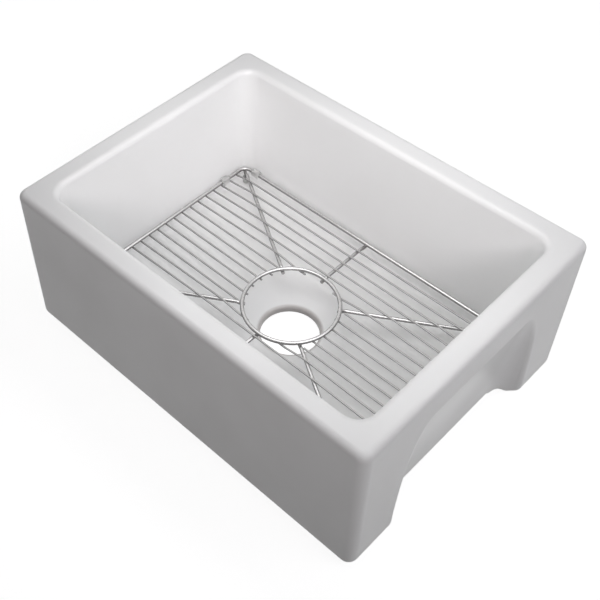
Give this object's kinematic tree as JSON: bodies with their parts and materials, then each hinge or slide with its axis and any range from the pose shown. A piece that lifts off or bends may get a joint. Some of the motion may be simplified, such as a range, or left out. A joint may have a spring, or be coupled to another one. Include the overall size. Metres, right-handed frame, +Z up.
{
  "type": "apron front kitchen sink",
  "caption": "Rectangular apron front kitchen sink in glazed fireclay, with scooped ends, a crowned floor falling to a central drain hole, and a lift-out wire bottom grid on rubber feet.",
  "frame": {"origin": "centre of the footprint, on the plane that the feet stand on", "axes": "+X along the sink's length, towards its right end; -Y towards the front apron; +Z up, along the drain's axis"},
  "size_m": [0.616, 0.457, 0.251],
  "materials": {
    "fireclay": "glossy white glaze",
    "stainless": "satin drawn wire",
    "silicone": "translucent white silicone",
    "rubber": "grey rubber"
  },
  "bodies": {
    "basin": {"sink_basin": "fireclay"},
    "bottom_grid": {"bumper_front_left": "silicone", "bumper_front_right": "silicone", "bumper_left_front": "silicone", "bumper_left_rear": "silicone", "bumper_rear_left": "silicone", "bumper_rear_right": "silicone", "bumper_right_front": "silicone", "bumper_right_rear": "silicone", "diagonal_brace_front_left": "stainless", "diagonal_brace_front_right": "stainless", "diagonal_brace_rear_left": "stainless", "diagonal_brace_rear_right": "stainless", "drain_ring": "stainless", "foot_stud_front_left": "stainless", "foot_stud_front_right": "stainless", "foot_stud_rear_left": "stainless", "foot_stud_rear_right": "stainless", "grid_frame": "stainless", "grid_wire_01": "stainless", "grid_wire_02": "stainless", "grid_wire_03": "stainless", "grid_wire_04": "stainless", "grid_wire_05": "stainless", "grid_wire_06_left": "stainless", "grid_wire_06_right": "stainless", "grid_wire_07_left": "stainless", "grid_wire_07_right": "stainless", "grid_wire_08_left": "stainless", "grid_wire_08_right": "stainless", "grid_wire_09_left": "stainless", "grid_wire_09_right": "stainless", "grid_wire_10_left": "stainless", "grid_wire_10_right": "stainless", "grid_wire_11_left": "stainless", "grid_wire_11_right": "stainless", "grid_wire_12_left": "stainless", "grid_wire_12_right": "stainless", "grid_wire_13_left": "stainless", "grid_wire_13_right": "stainless", "grid_wire_14": "stainless", "grid_wire_15": "stainless", "grid_wire_16": "stainless", "grid_wire_17": "stainless", "grid_wire_18": "stainless", "rubber_foot_front_left": "rubber", "rubber_foot_front_right": "rubber", "rubber_foot_rear_left": "rubber", "rubber_foot_rear_right": "rubber", "straight_brace_front": "stainless", "straight_brace_rear": "stainless"}
  },
  "joints": [
    {"name": "grid_lift", "type": "slide", "parent": "basin", "child": "bottom_grid", "axis": [0, 0, 1], "range_m": [0, 0.25]}
  ]
}
